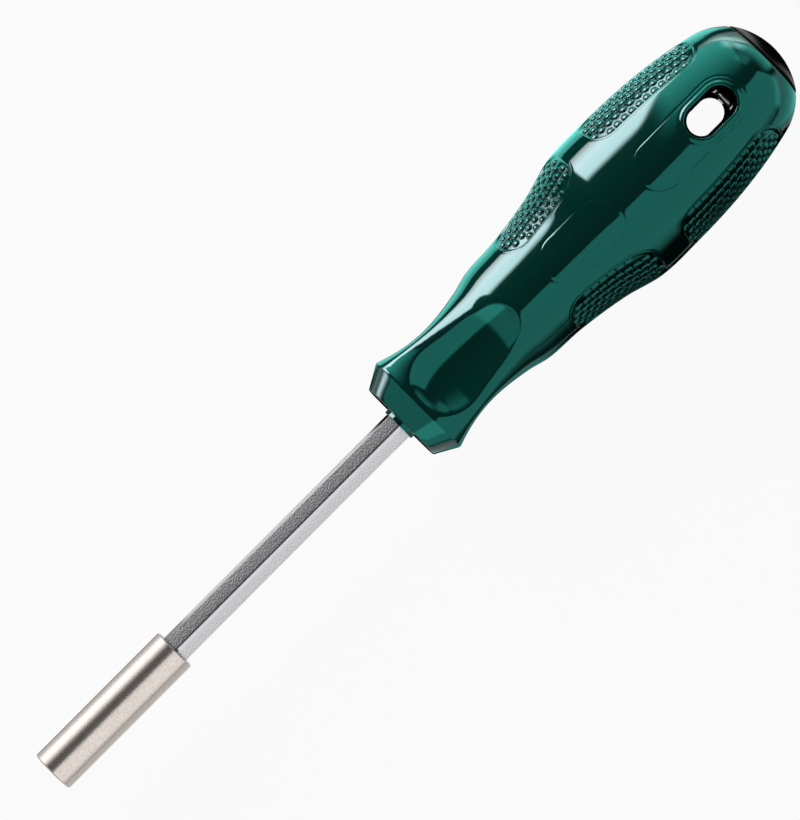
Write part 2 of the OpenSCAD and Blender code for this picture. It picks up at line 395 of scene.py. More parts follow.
# Turned stainless steel of the sleeve, with a warm cast
SLEEVE_STEEL = TurnedSteel("turned_stainless_steel", "#bab3ae", 0.26, 1.0, stain="#9d938c", patch_mm=0.4)
# Plated steel of the shaft, dark and speckled where no light is mirrored
SHAFT_PLATING = GrainedPlating(
    "nickel_plated_bar", "#b0b0b1", 0.2, 1.0, dull="#a6a6aa", grain_mm=0.4, grain_depth_mm=0.06
)
# Tempered spring steel of the ring, bluish dark from its heat treatment
RING_STEEL = TurnedSteel("tempered_spring_steel", "#5b5b60", 0.35, 1.0, stain="#3f3f46")
# Nickel skin of the magnet, bright, with a tumbled finish
MAGNET_PLATING = GrainedPlating(
    "nickel_plated_magnet", "#d0cdc6", 0.18, 1.0, dull="#a9a69f", grain_depth_mm=0.004
)


@dataclass(frozen=True)
class Obround:
    """Slot shape with round ends on the handle, seen along the hanging hole."""

    centre: float
    length: float
    width: float

    def _offset(self, run: float, across: float) -> Vector:
        """Find the way to a point from the middle line.

        Args:
            run: Place of the point along the handle.
            across: Its distance from the middle plane.

        Returns:
            Vector from the nearest point of the middle line, as run and across.
        """
        half = (self.length - self.width) / 2
        along = run - self.centre
        return Vector((along - min(half, max(-half, along)), across))

    def distance(self, run: float, across: float) -> float:
        """Distance of a point outside the outline, negative inside it."""
        return self._offset(run, across).length - self.width / 2

    def outward(self, run: float, across: float) -> Vector:
        """Direction away from the outline, as run and across."""
        return self._offset(run, across).normalized()


@dataclass(frozen=True)
class DottedPad:
    """Sunken pad with rows of dots, between two runs and two angles."""

    start: float
    end: float
    turn_deg: float
    half_deg: float
    rows: int
    row_deg: float
    pitch: float = 2.18
    corner: float = 5.4
    margin: float = 0.62

    def distance(self, run: float, angle: float, radius: float) -> float:
        """Distance of a point outside the pad's outline, negative inside it.

        Args:
            run: Place along the handle.
            angle: Turn from the hole's axis, in radians.
            radius: Radius of the handle there.

        Returns:
            The distance over the surface.
        """
        half_w = math.radians(self.half_deg) * radius
        along = abs(run - (self.start + self.end) / 2) - (self.end - self.start) / 2 + self.corner
        across = abs(angle - math.radians(self.turn_deg)) * radius - half_w + self.corner
        outside = math.hypot(max(0.0, along), max(0.0, across))
        return outside + min(0.0, max(along, across)) - self.corner

    def dots(self, radius_at: Callable[[float], float]) -> Iterator[tuple[float, float]]:
        """Places of the dots in staggered rows.

        Args:
            radius_at: Gives the radius of the handle at a run.

        Yields:
            Run and angle of each dot.
        """
        count = round((self.end - self.start) / self.pitch)
        for row in range(self.rows):
            angle = math.radians(self.turn_deg + (row - (self.rows - 1) / 2) * self.row_deg)
            for step in range(count + 1):
                run = self.start + (step + row % 2 / 2) * self.pitch
                if self.distance(run, angle, radius_at(run)) < -self.margin:
                    yield run, angle


@dataclass(frozen=True)
class HandleOutline:
    """Turned outline of the handle: a cone at the front, then a smooth curve through stations."""

    front_r: float = 10.0
    stations: tuple[tuple[float, float], ...] = (
        (5.3, 13.0),
        (17.8, 10.596),
        (28.0, 11.75),
        (32.7, 12.95),
        (42.0, 13.55),
        (54.3, 15.45),
        (63.2, 17.785),
        (75.0, 18.085),
        (104.5, 14.85),
        (108.5, 13.35),
        (111.8, 10.83),
    )

    def _secant(self, i: int) -> float:
        """Slope of the straight line from a station to the next one."""
        (run, radius), (next_run, next_radius) = self.stations[i : i + 2]
        return (next_radius - radius) / (next_run - run)

    def _inner_slope(self, i: int) -> float:
        """Slope at a station inside the list: level at a neck or belly, the mean elsewhere."""
        before, after = self._secant(i - 1), self._secant(i)
        return 0.0 if before * after <= 0 else (before + after) / 2

    def _slope(self, i: int) -> float:
        """Slope at any station: the end stretches are parabolas.

        Args:
            i: Number of the station.

        Returns:
            Change of radius per run.
        """
        last = len(self.stations) - 1
        if i == 0:
            return 2 * self._secant(0) - self._inner_slope(1)
        if i == last:
            return 2 * self._secant(last - 1) - self._inner_slope(last - 1)
        return self._inner_slope(i)

    def radius(self, run: float) -> float:
        """Radius of the handle.

        Args:
            run: Place along the handle.

        Returns:
            The radius there.
        """
        ridge_run, ridge_r = self.stations[0]
        if run < ridge_run:
            return self.front_r + (ridge_r - self.front_r) * run / ridge_run
        i = max(0, min(len(self.stations) - 2, sum(s[0] <= run for s in self.stations) - 1))
        (start, radius), (end, next_radius) = self.stations[i : i + 2]
        span = end - start
        t = (run - start) / span
        return (
            radius * (1 - 3 * t**2 + 2 * t**3)
            + next_radius * (3 * t**2 - 2 * t**3)
            + span * self._slope(i) * (t - 2 * t**2 + t**3)
            + span * self._slope(i + 1) * (t**3 - t**2)
        )

    def tilt(self, run: float) -> float:
        """Slope of the outline at a run."""
        return (self.radius(run + TILT_STEP) - self.radius(run - TILT_STEP)) / (2 * TILT_STEP)


@dataclass(frozen=True)
class NeckSection:
    """Section of the collar and the neck: a rounded square that turns into a circle at the barrel.

    Each stop gives a run, the power of the section's curve, where 2 is an ellipse and more is squarer, and
    the height of the section as a share of its width. On the front face the section is round up to round_r
    and has its full power from square_r on.
    """

    round_r: float = 4.5
    square_r: float = 9.0
    stops: tuple[tuple[float, float, float], ...] = (
        (0.0, 3.4, 0.85),
        (6.0, 3.4, 0.85),
        (9.0, 4.8, 0.81),
        (13.2, 6.2, 0.785),
        (16.2, 5.6, 0.795),
        (19.2, 4.3, 0.82),
        (22.2, 3.3, 0.868),
        (25.2, 2.7, 0.925),
        (28.2, 2.3, 0.972),
        (31.2, 2.05, 0.995),
        (33.5, 2.0, 1.0),
    )

    def at(self, run: float) -> tuple[float, float]:
        """Find the section between two stops.

        Args:
            run: Place along the handle.

        Returns:
            Power and height share of the section there.
        """
        before = max((s for s in self.stops if s[0] <= run), default=self.stops[0])
        after = min((s for s in self.stops if s[0] >= run), default=self.stops[-1])
        t = (run - before[0]) / (after[0] - before[0]) if after[0] > before[0] else 0.0
        return before[1] + (after[1] - before[1]) * t, before[2] + (after[2] - before[2]) * t

    def height(self, run: float, across: float, radius: float) -> float:
        """Height of the section's curve over the axis.

        Args:
            run: Place along the handle.
            across: Distance from the middle plane.
            radius: Radius of the round outline there.

        Returns:
            The height, which is round again near the shaft.
        """
        power, share = self.at(run)
        square = smooth_step(self.round_r, self.square_r, radius)
        power, share = 2 + (power - 2) * square, 1 + (share - 1) * square
        return radius * share * max(0.0, 1 - min(1.0, abs(across) / radius) ** power) ** (1 / power)


@dataclass(frozen=True)
class ThumbScoop:
    """Hollow on top and at the bottom of the handle's neck: two barrels that share their lowest line."""

    floor: float = 7.0
    low: float = 15.1
    front_run: float = 9.2
    front_rise: float = 3.8
    rear_run: float = 19.5
    rear_rise: float = 6.4
    hollow: float = 24.0

    def height(self, run: float, across: float) -> float:
        """Height of the hollow's surface over the axis.

        Args:
            run: Place along the handle.
            across: Distance from the middle plane.

        Returns:
            The height, infinite where there is no hollow.
        """
        span, rise = (self.front_run, self.front_rise) if run < self.low else (self.rear_run, self.rear_rise)
        wheel = (span**2 + rise**2) / (2 * rise)
        if abs(across) >= self.hollow:
            return math.inf
        barrel = wheel - self.hollow + math.sqrt(self.hollow**2 - across**2)
        if abs(run - self.low) >= barrel:
            return math.inf
        return self.floor + wheel - math.sqrt(barrel**2 - (run - self.low) ** 2)


@dataclass
class Piece:
    """A piece of the tool that stands for one node of the solid model."""

    name: str
    node: str
    slot: str
    finish: Finish

    def publish(self, mesh: bmesh.types.BMesh, crisp: bool) -> bpy.types.Object:
        """Turn a finished mesh into an object of the tool.

        Args:
            mesh: The mesh in millimetres, which is freed.
            crisp: Whether flat faces keep their own normals beside small roundings.

        Returns:
            The object.
        """
        bmesh.ops.scale(mesh, vec=(MM, MM, MM), verts=mesh.verts)
        for face in mesh.faces:
            face.smooth = True
        piece = new_object(self.name, mesh, self.finish.make())
        if crisp:
            normals = piece.modifiers.new("flat_faces", "WEIGHTED_NORMAL")
            normals.weight = 100
        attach(piece, "root")
        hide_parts(self.node)
        log.info("%s: %d faces in place of %s", self.name, len(piece.data.polygons), self.node)
        return piece


@dataclass
class HandleGrip(Piece):
    """Green outer moulding with its ridge, thumb hollows, panels, dotted pads and hanging hole.

    An edge is how far a rounding goes along both sides of a corner. Round the bead of the hole and round the
    pads runs a shallow moat. The fine sizes bound the bands along the detail that get small faces.
    """

    name: str = "green_grip"
    node: str = "handle_grip"
    slot: str = "grip_plastic"
    finish: Finish = GRIP_PLASTIC
    outline: HandleOutline = HandleOutline()
    neck: NeckSection = NeckSection()
    scoop: ThumbScoop = ThumbScoop()
    panels: tuple[Obround, ...] = (Obround(54.95, 21.5, 11.8), Obround(87.95, 30.9, 11.8))
    hole: Obround = Obround(94.45, 13.7, 7.8)
    pads: tuple[DottedPad, ...] = (
        DottedPad(41.6, 64.9, 62.3, 25.8, rows=7, row_deg=7.65),
        DottedPad(72.1, 102.7, 64.3, 22.6, rows=6, row_deg=7.8),
    )
    segments: int = 144
    step: float = 1.0
    boss: float = 1.0
    boss_r: float = 4.016
    boss_wall: float = 0.7
    boss_edge: float = 0.2
    foot_edge: float = 0.15
    front_rings: tuple[float, ...] = (6.0, 8.0)
    front_edge: float = 0.25
    cone_runs: tuple[float, ...] = (1.2, 2.4, 3.6, 4.4)
    ridge_edge: float = 0.45
    ridge_land: float = 0.5
    length: float = 111.8
    rim_gap: float = 0.6
    rim_reach: float = 0.3
    rim_edge: float = 0.18
    rim_land: float = 0.4
    cap_seat: float = 2.0
    seat_edge: float = 0.1
    seat_width: float = 2.0
    groove_in: float = 0.2
    groove_depth: float = 0.12
    groove_half: float = 0.3
    pad_depth: float = 0.5
    pad_wall: tuple[float, float] = (0.12, -0.38)
    bead_w: float = 0.95
    bead_h: float = 0.2
    bead_crest: float = 0.4
    moat_depth: float = 0.1
    moat_half: float = 0.24
    pad_moat: float = 0.42
    scoop_blend: float = 0.4
    dot_r: float = 1.04
    dot_h: float = 0.5
    dot_sink: float = 0.01
    dot_segments: int = 10
    dot_rings: int = 6
    wall_rings: tuple[tuple[float, float], ...] = ((-0.07, 0.03), (-0.15, 0.11), (-0.2, 0.26), (-0.2, 2.6))
    scoop_from: float = 4.0
    cone_end: float = 6.0
    neck_end: float = 38.0
    detail_runs: tuple[float, float] = (5.0, 106.0)
    hole_runs: tuple[float, float] = (80.0, 106.0)
    hole_turn: float = 1.0
    hole_z: float = 8.0
    fine_bands: tuple[float, ...] = (0.9, 0.4)
    hole_fine: tuple[float, float] = (0.1, 0.3)
    pad_fine: tuple[float, float] = (0.1, 0.5)
    scoop_fine: float = 1.2

    def profile(self) -> list[Vector]:
        """Profile of the moulding from inside its boss, over the outside, to the seat of the cap.

        Returns:
            Places along X and radii.
        """
        ridge = self.outline.stations[0]
        rim_r = self.outline.stations[-1][1]
        seat_r = rim_r - self.rim_land
        seat_run = self.length - self.cap_seat
        tip, foot, front = (-self.boss, self.boss_r), (0.0, self.boss_r), (0.0, self.outline.front_r)
        rim, seat = (self.length, rim_r), (self.length, seat_r)
        start, end = ridge[0] + self.ridge_land, self.length - self.rim_gap
        near_rim = self.length - self.rim_reach
        steps = round((end - start) / self.step)
        points = [Vector((-self.boss, self.boss_r - self.boss_wall))]
        points += rounded(points[0], tip, foot, self.boss_edge)
        points += rounded(tip, foot, front, self.foot_edge)
        points += [Vector((0, r)) for r in self.front_rings]
        points += rounded(foot, front, ridge, self.front_edge)
        points += [Vector((run, self.outline.radius(run))) for run in self.cone_runs]
        points += rounded(front, ridge, (start, self.outline.radius(start)), self.ridge_edge)
        for i in range(1, steps + 1):
            run = start + (end - start) * i / steps
            points.append(Vector((run, self.outline.radius(run))))
        points += rounded((near_rim, self.outline.radius(near_rim)), rim, seat, self.rim_edge)
        points += rounded(rim, seat, (seat_run, seat_r), self.seat_edge)
        points += [Vector((seat_run, r)) for r in (seat_r, seat_r - self.seat_width)]
        return [Vector((HANDLE_FRONT + x, r)) for x, r in points]

    def polar(self, place: Vector) -> tuple[float, float]:
        """Run of a point, and its angle folded into the quarter between the hole and the side."""
        angle = abs(math.atan2(place.y, place.z))
        return place.x - HANDLE_FRONT, min(angle, math.pi - angle)

    def near_hole(self, run: float) -> bool:
        """Whether a run lies on the stretch that holds the hanging hole."""
        return self.hole_runs[0] < run < self.hole_runs[1]

    def relief(self, run: float, angle: float) -> float:
        """Height of the panel lines, the bead of the hole and the pads over the turned outline.

        Args:
            run: Place along the handle.
            angle: Turn from the hole's axis, folded into one quarter.

        Returns:
            The height, negative where the surface is sunk.
        """
        radius = self.outline.radius(run)
        across = radius * math.sin(angle)
        height = 0.0
        for panel in self.panels:
            height -= self.groove_depth * hump(-self.groove_in, self.groove_half, panel.distance(run, across))
        hole = self.hole.distance(run, across)
        height += self.bead_h * hump(self.bead_w * self.bead_crest, self.bead_w * (1 - self.bead_crest), hole)
        height -= self.moat_depth * hump(self.bead_w + self.moat_half / 2, self.moat_half, hole)
        for pad in self.pads:
            edge = pad.distance(run, angle, radius)
            height -= self.pad_depth * smooth_step(*self.pad_wall, edge)
            height -= self.moat_depth * hump(self.pad_moat, self.moat_half, edge)
        return height

    def detail_distance(self, place: Vector) -> float:
        """Find how far a point is from the lines that need small faces.

        Args:
            place: Point of the turned outline.

        Returns:
            Distance from the nearest line, infinite off the stretch that has any.
        """
        run, angle = self.polar(place)
        if not self.detail_runs[0] < run < self.detail_runs[1]:
            return math.inf
        radius = self.outline.radius(run)
        across = radius * math.sin(angle)
        found = [abs(panel.distance(run, across) + self.groove_in) for panel in self.panels]
        hole = self.hole.distance(run, across)
        found.append(max(0.0, hole - self.bead_w - self.hole_fine[1], -self.hole_fine[0] - hole))
        middle, half = self.pad_fine
        found += [max(0.0, abs(pad.distance(run, angle, radius) - middle) - half) for pad in self.pads]
        rise = self.neck.height(run, across, radius) - self.scoop.height(run, across)
        found.append(self.scoop_fine * abs(rise))
        return min(found)

    def refine(self, mesh: bmesh.types.BMesh, band: float) -> None:
        """Halve the faces that lie within a band along the detail, and put new points on the outline.

        Args:
            mesh: Mesh of the moulding.
            band: Half the width of the band.
        """
        small = [f for f in mesh.faces if self.detail_distance(f.calc_center_median()) < band]
        edges = list(dict.fromkeys(e for f in small for e in f.edges))
        bmesh.ops.subdivide_edges(mesh, edges=edges, cuts=1, use_grid_fill=True, use_single_edge=True)
        for vert in mesh.verts:
            run = vert.co.x - HANDLE_FRONT
            if self.cone_end < run < self.length - self.rim_gap:
                scale = self.outline.radius(run) / math.hypot(vert.co.y, vert.co.z)
                vert.co.yz = vert.co.y * scale, vert.co.z * scale

    def shape(self, mesh: bmesh.types.BMesh) -> None:
        """Sink the lines, pads and thumb hollows into the turned surface.

        Args:
            mesh: Mesh of the moulding.
        """
        for vert in mesh.verts:
            run, angle = self.polar(vert.co)
            radius = math.hypot(vert.co.y, vert.co.z)
            if self.neck_end < run < self.detail_runs[1]:
                scale = (radius + self.relief(run, angle)) / radius
                vert.co.yz = vert.co.y * scale, vert.co.z * scale
            elif run < self.neck_end:
                low = self.neck.height(run, vert.co.y, radius)
                if run > self.scoop_from:
                    low = soft_min(low, self.scoop.height(run, vert.co.y), self.scoop_blend)
                vert.co.z = math.copysign(low, vert.co.z)

    def rim_point(self, side: Side, place: Vector) -> Vector:
        """Move a point of the cut's ragged rim to the outline of the hanging hole.

        Args:
            side: Side of the handle that the point lies on.
            place: Place of the point.

        Returns:
            Its new place, on the handle's surface.
        """
        run = place.x - HANDLE_FRONT
        move = self.hole.outward(run, place.y) * -self.hole.distance(run, place.y)
        run, across = run + move.x, place.y + move.y
        radius = self.outline.radius(run)
        radius += self.relief(run, math.asin(abs(across) / radius))
        return Vector((HANDLE_FRONT + run, across, side.value * math.sqrt(radius**2 - across**2)))

    def wall_point(self, side: Side, out: float, down: float, place: Vector) -> Vector:
        """Move a point of the hanging hole's wall one ring further in.

        Args:
            side: Side of the handle that the wall starts from.
            out: Way away from the middle of the hole.
            down: Way towards the axis.
            place: Place of the point.

        Returns:
            Its new place.
        """
        move = self.hole.outward(place.x - HANDLE_FRONT, place.y) * out
        return place + Vector((move.x, move.y, -side.value * down))

    def open_hole(self, mesh: bmesh.types.BMesh) -> None:
        """Cut the hanging hole through both sides and draw its rounded walls inwards.

        Args:
            mesh: Mesh of the moulding.
        """
        inside = []
        for face in mesh.faces:
            run, angle = self.polar(face.calc_center_median())
            across = self.outline.radius(run) * math.sin(angle)
            if self.near_hole(run) and angle < self.hole_turn and self.hole.distance(run, across) < 0:
                inside.append(face)
        bmesh.ops.delete(mesh, geom=inside, context="FACES")
        cut = [
            e
            for e in mesh.edges
            if e.is_boundary and all(self.near_hole(v.co.x - HANDLE_FRONT) for v in e.verts)
        ]
        ends = []
        for side in Side:
            rim = [e for e in cut if all(v.co.z * side.value > self.hole_z for v in e.verts)]
            for vert in dict.fromkeys(v for e in rim for v in e.verts):
                vert.co = self.rim_point(side, vert.co)
            reached = Vector((0.0, 0.0))
            for offset, drop in self.wall_rings:
                move = partial(self.wall_point, side, offset - reached.x, drop - reached.y)
                rim = next_ring(mesh, rim, move)
                reached = Vector((offset, drop))
            ends += rim
        bmesh.ops.bridge_loops(mesh, edges=ends)

    def dot(self) -> bpy.types.Mesh:
        """Make one dot of the pads.

        Returns:
            Mesh of a flat dome on a closed foot.
        """
        dome = bmesh.new()
        bmesh.ops.create_uvsphere(
            dome, u_segments=self.dot_segments, v_segments=self.dot_rings, radius=self.dot_r
        )
        whole = dome.verts[:] + dome.edges[:] + dome.faces[:]
        bmesh.ops.bisect_plane(dome, geom=whole, plane_co=(0, 0, 0), plane_no=(0, 0, 1), clear_inner=True)
        foot = [e for e in dome.edges if e.is_boundary]
        bmesh.ops.holes_fill(dome, edges=foot)
        for edge in foot:
            edge.smooth = False
        bmesh.ops.scale(dome, vec=(1, 1, self.dot_h / self.dot_r), verts=dome.verts)
        stamp = bpy.data.meshes.new("dot")
        dome.to_mesh(stamp)
        dome.free()
        return stamp

    def add_dots(self, mesh: bmesh.types.BMesh) -> int:
        """Set the dots on the beds of all eight pads.

        Args:
            mesh: Mesh of the moulding.

        Returns:
            The number of dots.
        """
        stamp = self.dot()
        count = 0
        for pad in self.pads:
            for run, quarter in pad.dots(self.outline.radius):
                radius = self.outline.radius(run) - self.pad_depth - self.dot_sink
                for angle in (quarter, -quarter, math.pi - quarter, quarter - math.pi):
                    spot = Vector((HANDLE_FRONT + run, radius * math.sin(angle), radius * math.cos(angle)))
                    out = Vector((-self.outline.tilt(run), math.sin(angle), math.cos(angle)))
                    place = Matrix.Translation(spot) @ out.to_track_quat("Z", "X").to_matrix().to_4x4()
                    stamp.transform(place)
                    mesh.from_mesh(stamp)
                    stamp.transform(place.inverted())
                    count += 1
        bpy.data.meshes.remove(stamp)
        return count

    def build(self) -> bpy.types.Object:
        """Build the grip.

        Returns:
            The grip's object.
        """
        mesh = bmesh.new()
        turn(mesh, self.profile(), self.segments)
        for band in self.fine_bands:
            self.refine(mesh, band)
        self.shape(mesh)
        self.open_hole(mesh)
        bmesh.ops.holes_fill(mesh, edges=[e for e in mesh.edges if e.is_boundary])
        bmesh.ops.recalc_face_normals(mesh, faces=mesh.faces)
        log.info("grip: %d dots", self.add_dots(mesh))
        return self.publish(mesh, crisp=False)


@dataclass
class HandleCore(Piece):
    """Black core inside the grip, with the lining of the hanging hole."""

    name: str = "black_core"
    node: str = "handle_core"
    slot: str = "core_plastic"
    finish: Finish = CORE_PLASTIC
    outline: HandleOutline = HandleOutline()
    lining: Obround = Obround(94.45, 12.2, 6.3)
    segments: int = 64
    bar: tuple[tuple[float, float], ...] = (
        (6, 0),
        (6, 4.996),
        (36.5, 4.996),
        (40, 8.5),
        (87.2, 8.5),
        (87.2, 0),
    )
    tail: tuple[tuple[float, float], ...] = (
        (101.7, 0),
        (101.7, 8.5),
        (109.8, 8.5),
        (109.8, 5.2),
        (104.2, 5.2),
        (104.2, 0),
    )
    lip: tuple[tuple[float, float], ...] = (
        (1.35, 2.4),
        (1.3, 1.1),
        (1.1, 0.78),
        (0.62, 0.66),
        (0.34, 0.72),
        (0.12, 0.92),
        (0.02, 1.25),
        (0.0, 1.8),
        (0.0, 5.0),
    )

    def lining_point(self, side: Side, offset: float, depth: float, place: Vector) -> Vector:
        """Place of a point of the lining.

        Args:
            side: Side of the handle that the depth is measured from.
            offset: Distance outside the outline.
            depth: Depth below the surface of the handle.
            place: The point on the hole's outline, at any height.

        Returns:
            The place.
        """
        run = place.x - HANDLE_FRONT
        out = self.lining.outward(run, place.y)
        move = out * (offset - self.lining.distance(run, place.y))
        run, across = run + move.x, place.y + move.y
        height = math.sqrt(self.outline.radius(run) ** 2 - across**2) - depth
        return Vector((HANDLE_FRONT + run, across, side.value * height))

    def build(self) -> bpy.types.Object:
        """Build the core.

        Returns:
            The core's object.
        """
        mesh = bmesh.new()
        for profile in (self.bar, self.tail):
            turn(mesh, [(HANDLE_FRONT + x, r) for x, r in profile], self.segments)
        half_turn = Matrix.Rotation(math.pi / self.segments, 4, "Z")
        end_r = self.lining.width / 2
        ring = bmesh.ops.create_circle(mesh, segments=self.segments, radius=end_r, matrix=half_turn)["verts"]
        half = (self.lining.length - self.lining.width) / 2
        for vert in ring:
            vert.co.x += math.copysign(half, vert.co.x) + HANDLE_FRONT + self.lining.centre
            vert.co = self.lining_point(Side.TOP, *self.lip[0], vert.co)
        first = edges = list(dict.fromkeys(e for v in ring for e in v.link_edges))
        for side, stops in ((Side.TOP, self.lip[1:]), (Side.BOTTOM, self.lip[::-1])):
            for offset, depth in stops:
                edges = next_ring(mesh, edges, partial(self.lining_point, side, offset, depth))
        bmesh.ops.bridge_loops(mesh, edges=first + edges)
        bmesh.ops.recalc_face_normals(mesh, faces=mesh.faces)
        return self.publish(mesh, crisp=True)


@dataclass
class BitSleeve(Piece):
    """Stainless tube with the hexagonal bit socket, a ring groove and a lead-in cone."""

    name: str = "stainless_sleeve"
    node: str = "bit_sleeve"
    slot: str = "stainless_sleeve"
    finish: Finish = SLEEVE_STEEL
    radius: float = 5.1028
    length: float = 37.8
    chamfer: float = 0.3
    socket_af: float = 6.5
    shaft_af: float = 6.35
    socket_end: float = 17.0
    lead_in: float = 0.08
    ring_from: float = 4.45
    ring_to: float = 5.45
    groove_r: float = 4.153
    flat_turn_deg: float = 9.0
    segments: int = 96
    groove_wall: float = 0.02
    edge_land: float = 0.06
    edge_cut: float = 0.05
    edge_run: float = 0.04
    rear_gap: float = 0.05
    press_gap: float = 0.02

    def hexagon_r(self, angle: float, across_flats: float) -> float:
        """Radius of a hexagon, as turned in the solid model, in a direction about the axis."""
        off = (angle + math.radians(self.flat_turn_deg)) % (math.pi / 3) - math.pi / 6
        return across_flats / 2 / math.cos(off)

    def on_ring(self, ring: Ring, place: Vector) -> Vector:
        """Place of a point of a ring.

        Args:
            ring: Gives the place along X and the radius at an angle about the axis.
            place: Any point at the angle that is wanted.

        Returns:
            The point of the ring at that angle.
        """
        angle = math.atan2(place.y, place.z)
        x, radius = ring(angle)
        return Vector((x, radius * math.sin(angle), radius * math.cos(angle)))

    def build(self) -> bpy.types.Object:
        """Build the sleeve from the back of the socket, through the mouth and over the outside.

        Returns:
            The sleeve's object.
        """
        corner_r = self.socket_af / 2 / math.cos(math.pi / 6)
        face_r = self.radius - self.chamfer - self.edge_land
        cut_r = self.radius - self.edge_cut

        def socket(x: float) -> Ring:
            """Ring on the walls of the socket."""
            return lambda angle: (x, self.hexagon_r(angle, self.socket_af))

        def pressed(x: float, gap: float) -> Ring:
            """Ring round the shaft."""
            return lambda angle: (x, self.hexagon_r(angle, self.shaft_af) + gap)

        def circle(x: float, radius: float) -> Ring:
            """Round ring."""
            return lambda angle: (x, radius)

        def lead(angle: float) -> tuple[float, float]:
            """Ring where the lead-in cone meets the walls of the socket."""
            reach = self.hexagon_r(angle, self.socket_af)
            return corner_r - reach + self.lead_in / 2, reach

        rings: list[Ring] = [
            socket(self.socket_end),
            socket(self.ring_to + self.groove_wall),
            circle(self.ring_to, self.groove_r),
            circle(self.ring_from, self.groove_r),
            socket(self.ring_from - self.groove_wall),
            lead,
            circle(0.0, corner_r + self.lead_in),
            circle(0.0, face_r),
            circle(self.edge_cut, self.radius - self.chamfer),
            circle(self.chamfer - self.edge_cut, cut_r),
            circle(self.chamfer + self.edge_run, self.radius),
            circle(self.length * 0.35, self.radius),
            circle(self.length * 0.65, self.radius),
            circle(self.length - self.chamfer - self.edge_run, self.radius),
            circle(self.length - self.chamfer + self.edge_cut, cut_r),
            circle(self.length - self.edge_cut, self.radius - self.chamfer),
            circle(self.length, face_r),
            pressed(self.length, self.rear_gap),
            pressed(self.socket_end, self.press_gap),
        ]
        mesh = bmesh.new()
        upright = Matrix.Rotation(math.pi / 2, 4, "Y")
        start = bmesh.ops.create_circle(mesh, segments=self.segments, radius=1, matrix=upright)["verts"]
        turned = Matrix.Rotation(math.radians(self.flat_turn_deg), 3, "X")
        bmesh.ops.rotate(mesh, verts=start, matrix=turned)
        for vert in start:
            vert.co = self.on_ring(rings[0], vert.co)
        first = edges = mesh.edges[:]
        for ring in rings[1:]:
            edges = next_ring(mesh, edges, partial(self.on_ring, ring))
        bmesh.ops.bridge_loops(mesh, edges=first + edges)
        bmesh.ops.recalc_face_normals(mesh, faces=mesh.faces)
        return self.publish(mesh, crisp=True)


@dataclass
class HexShaft(Piece):
    """Plated hexagonal bar with anchor wings inside the handle."""

    name: str = "plated_shaft"
    node: str = "hex_shaft"
    slot: str = "plated_bar"
    finish: Finish = SHAFT_PLATING
    across_flats: float = 6.35
    start: float = 17.0
    end: float = 187.8
    edge: float = 0.15
    rubbed_edge: float = 0.65
    flat_turn_deg: float = 9.0
    wing_at: float = 157.8
    wing_len: float = 10.0
    wing_span: float = 10.932
    wing_t: float = 2.2

    def build(self) -> bpy.types.Object:
        """Build the shaft.

        Returns:
            The shaft's object.
        """
        mesh = bmesh.new()
        burnished = mesh.faces.layers.float.new("burnished")
        corner_r = self.across_flats / 2 / math.cos(math.pi / 6)
        lie_down = Matrix.Rotation(math.pi / 2, 4, "Y")
        bmesh.ops.create_circle(mesh, cap_ends=True, segments=6, radius=corner_r, matrix=lie_down)
        ahead = max(mesh.verts, key=lambda v: v.co.z).co
        turn_by = math.radians(self.flat_turn_deg) + math.atan2(ahead.y, ahead.z)
        bmesh.ops.rotate(mesh, verts=mesh.verts, matrix=Matrix.Rotation(turn_by, 3, "X"))
        bmesh.ops.translate(mesh, vec=(self.start, 0, 0), verts=mesh.verts)
        made = bmesh.ops.extrude_face_region(mesh, geom=mesh.faces[:])["geom"]
        far = [g for g in made if isinstance(g, bmesh.types.BMVert)]
        bmesh.ops.translate(mesh, vec=(self.end - self.start, 0, 0), verts=far)
        bmesh.ops.recalc_face_normals(mesh, faces=mesh.faces)
        # The two edges nearest to straight up and straight down are rubbed rounder than the others
        long_edges = [e for e in mesh.edges if e.calc_length() > self.across_flats]
        rubbed = [e for e in long_edges if abs(e.verts[0].co.z) > self.across_flats / 2]
        others = [e for e in long_edges if e not in rubbed]
        for picked, offset in ((rubbed, self.rubbed_edge), (others, self.edge)):
            bevel = bmesh.ops.bevel(
                mesh, geom=picked, offset=offset, segments=3, profile=0.5, affect="EDGES", material=-1
            )
            for face in bevel["faces"]:
                face[burnished] = 1.0
        wing = bmesh.ops.create_cube(mesh, size=1)["verts"]
        bmesh.ops.scale(mesh, vec=(self.wing_len, self.wing_span, self.wing_t), verts=wing)
        bmesh.ops.translate(mesh, vec=(self.wing_at + self.wing_len / 2, 0, 0), verts=wing)
        return self.publish(mesh, crisp=True)


